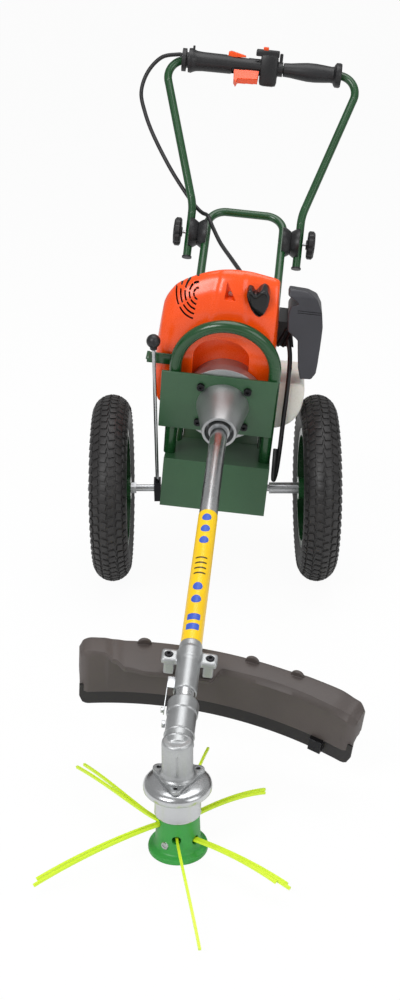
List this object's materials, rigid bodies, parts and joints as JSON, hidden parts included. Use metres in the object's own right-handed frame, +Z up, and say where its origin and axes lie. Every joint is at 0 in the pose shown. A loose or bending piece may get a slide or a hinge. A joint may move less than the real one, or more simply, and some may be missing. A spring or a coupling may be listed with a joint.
{
  "type": "wheeled string trimmer",
  "caption": "Wheeled petrol string trimmer: engine trolley with hoop and folding handlebar, long drive tube, guard and a line head with bevel drive.",
  "frame": {"origin": "centre of the flat foot under the line head, on the ground", "axes": "+Z up along the head axis, +Y level towards the handlebar, +X to the right as seen from the head"},
  "size_m": [0.5157, 1.6117, 0.8591],
  "materials": {
    "green_paint": "semi-gloss enamel",
    "bright_steel": "zinc plated",
    "dark_steel": "blackened",
    "gear_steel": "ground",
    "cast_alloy": "bead blasted casting",
    "drawn_alloy": "drawn and polished",
    "black_plastic": "fine grain",
    "orange_plastic": "moulded gloss",
    "red_plastic": "moulded gloss",
    "grey_plastic": "fine grain",
    "guard_plastic": "fine grain",
    "tank_plastic": "translucent moulded",
    "head_plastic": "moulded",
    "line_nylon": "drawn nylon",
    "yellow_film": "printed film",
    "tyre_rubber": "black rubber",
    "skirt_rubber": "black rubber"
  },
  "bodies": {
    "chassis": {"base_box": "green_paint", "tray_panel": "green_paint", "hoop_tube": "green_paint", "engine_plate": "green_paint", "plate_bolts": "dark_steel", "lever_gate": "green_paint", "pivot_lugs": "green_paint", "rear_frame": "green_paint", "frame_discs": "black_plastic", "clutch_housing": "cast_alloy", "drive_tube": "drawn_alloy", "yellow_band": "yellow_film", "gear_case": "cast_alloy", "case_screws": "gear_steel", "gear_bearings": "gear_steel", "guard_shell": "guard_plastic", "guard_skirt": "skirt_rubber", "line_cutter": "black_plastic", "guard_clamp": "cast_alloy", "guard_bolts": "dark_steel", "crankcase": "cast_alloy", "engine_cylinder": "cast_alloy", "engine_cover": "orange_plastic", "plug_boot": "black_plastic", "starter_housing": "black_plastic", "starter_grip": "black_plastic", "fuel_tank": "tank_plastic", "carburettor": "black_plastic", "filter_cover": "grey_plastic", "muffler": "dark_steel", "cable_lower": "black_plastic", "cable_upper": "black_plastic"},
    "axle assembly": {"pivot_block": "dark_steel", "axle": "bright_steel", "axle_nuts": "bright_steel", "axle_sleeve": "bright_steel", "lever_foot": "dark_steel", "lean_lever": "bright_steel", "ball_knob": "black_plastic"},
    "left wheel": {"tyre_left": "tyre_rubber", "rim_left": "green_paint"},
    "right wheel": {"tyre_right": "tyre_rubber", "rim_right": "green_paint"},
    "handlebar": {"handlebar": "green_paint", "handle_discs": "black_plastic", "tube_caps": "black_plastic", "throttle_body": "black_plastic", "grip_right": "black_plastic"},
    "left hinge knob": {"hinge_knob_left": "black_plastic"},
    "right hinge knob": {"hinge_knob_right": "black_plastic"},
    "trigger": {"trigger": "orange_plastic"},
    "lockout": {"lockout": "orange_plastic"},
    "stop switch": {"stop_switch": "red_plastic"},
    "fuel cap": {"fuel_cap": "black_plastic"},
    "drive shaft": {"drive_shaft": "gear_steel", "bevel_pinion": "gear_steel"},
    "line head": {"bevel_wheel": "gear_steel", "head_ring": "cast_alloy", "line_head": "head_plastic", "trimmer_lines": "line_nylon"}
  },
  "joints": [
    {"name": "chassis lean", "type": "hinge", "parent": "chassis", "child": "axle assembly", "pos_m": [0.05338, 0.78809, 0.165], "axis": [0, 0.8192, -0.5736], "range_deg": [-1, 6.5]},
    {"name": "left wheel spin", "type": "hinge", "parent": "axle assembly", "child": "left wheel", "pos_m": [-0.12662, 0.78809, 0.165], "axis": [1, 0, 0], "continuous": true},
    {"name": "right wheel spin", "type": "hinge", "parent": "axle assembly", "child": "right wheel", "pos_m": [0.23338, 0.78809, 0.165], "axis": [1, 0, 0], "continuous": true},
    {"name": "handlebar fold", "type": "hinge", "parent": "chassis", "child": "handlebar", "pos_m": [0.11441, 1.21611, 0.51916], "axis": [0.9936, -0.0649, -0.0927], "range_deg": [-25, 95], "deforming": ["cable_upper"]},
    {"name": "left knob turn", "type": "hinge", "parent": "handlebar", "child": "left hinge knob", "pos_m": [0.11441, 1.21611, 0.51916], "axis": [0.9936, -0.0649, -0.0927], "continuous": true},
    {"name": "right knob turn", "type": "hinge", "parent": "handlebar", "child": "right hinge knob", "pos_m": [0.11441, 1.21611, 0.51916], "axis": [0.9936, -0.0649, -0.0927], "continuous": true},
    {"name": "throttle trigger", "type": "hinge", "parent": "handlebar", "child": "trigger", "pos_m": [0.12452, 1.37338, 0.81389], "axis": [-0.0197, 0.7077, -0.7062], "range_deg": [0, 9], "stiffness_Nm_per_rad": 0.4},
    {"name": "lockout press", "type": "hinge", "parent": "handlebar", "child": "lockout", "pos_m": [0.09851, 1.38915, 0.84881], "axis": [0.0649, 0.9979, -0.003], "range_deg": [0, 8], "stiffness_Nm_per_rad": 0.2},
    {"name": "stop switch slide", "type": "slide", "parent": "handlebar", "child": "stop switch", "axis": [0.9936, -0.0649, -0.0927], "range_m": [-0.008, 0.008]},
    {"name": "fuel cap turn", "type": "hinge", "parent": "chassis", "child": "fuel cap", "pos_m": [0.18425, 0.88934, 0.34137], "axis": [0.0649, 0.9979, -0.003], "range_deg": [0, 270]},
    {"name": "line head spin", "type": "hinge", "parent": "chassis", "child": "line head", "pos_m": [0, 0, 0.14486], "axis": [0, 0, 1], "continuous": true},
    {"name": "drive shaft spin", "type": "hinge", "parent": "chassis", "child": "drive shaft", "pos_m": [0, 0, 0.14486], "axis": [0.0874, 0.9608, 0.2632], "continuous": true}
  ],
  "couplings": [
    {"joint": "drive shaft spin", "follows": "line head spin", "ratio": 1.3571}
  ]
}
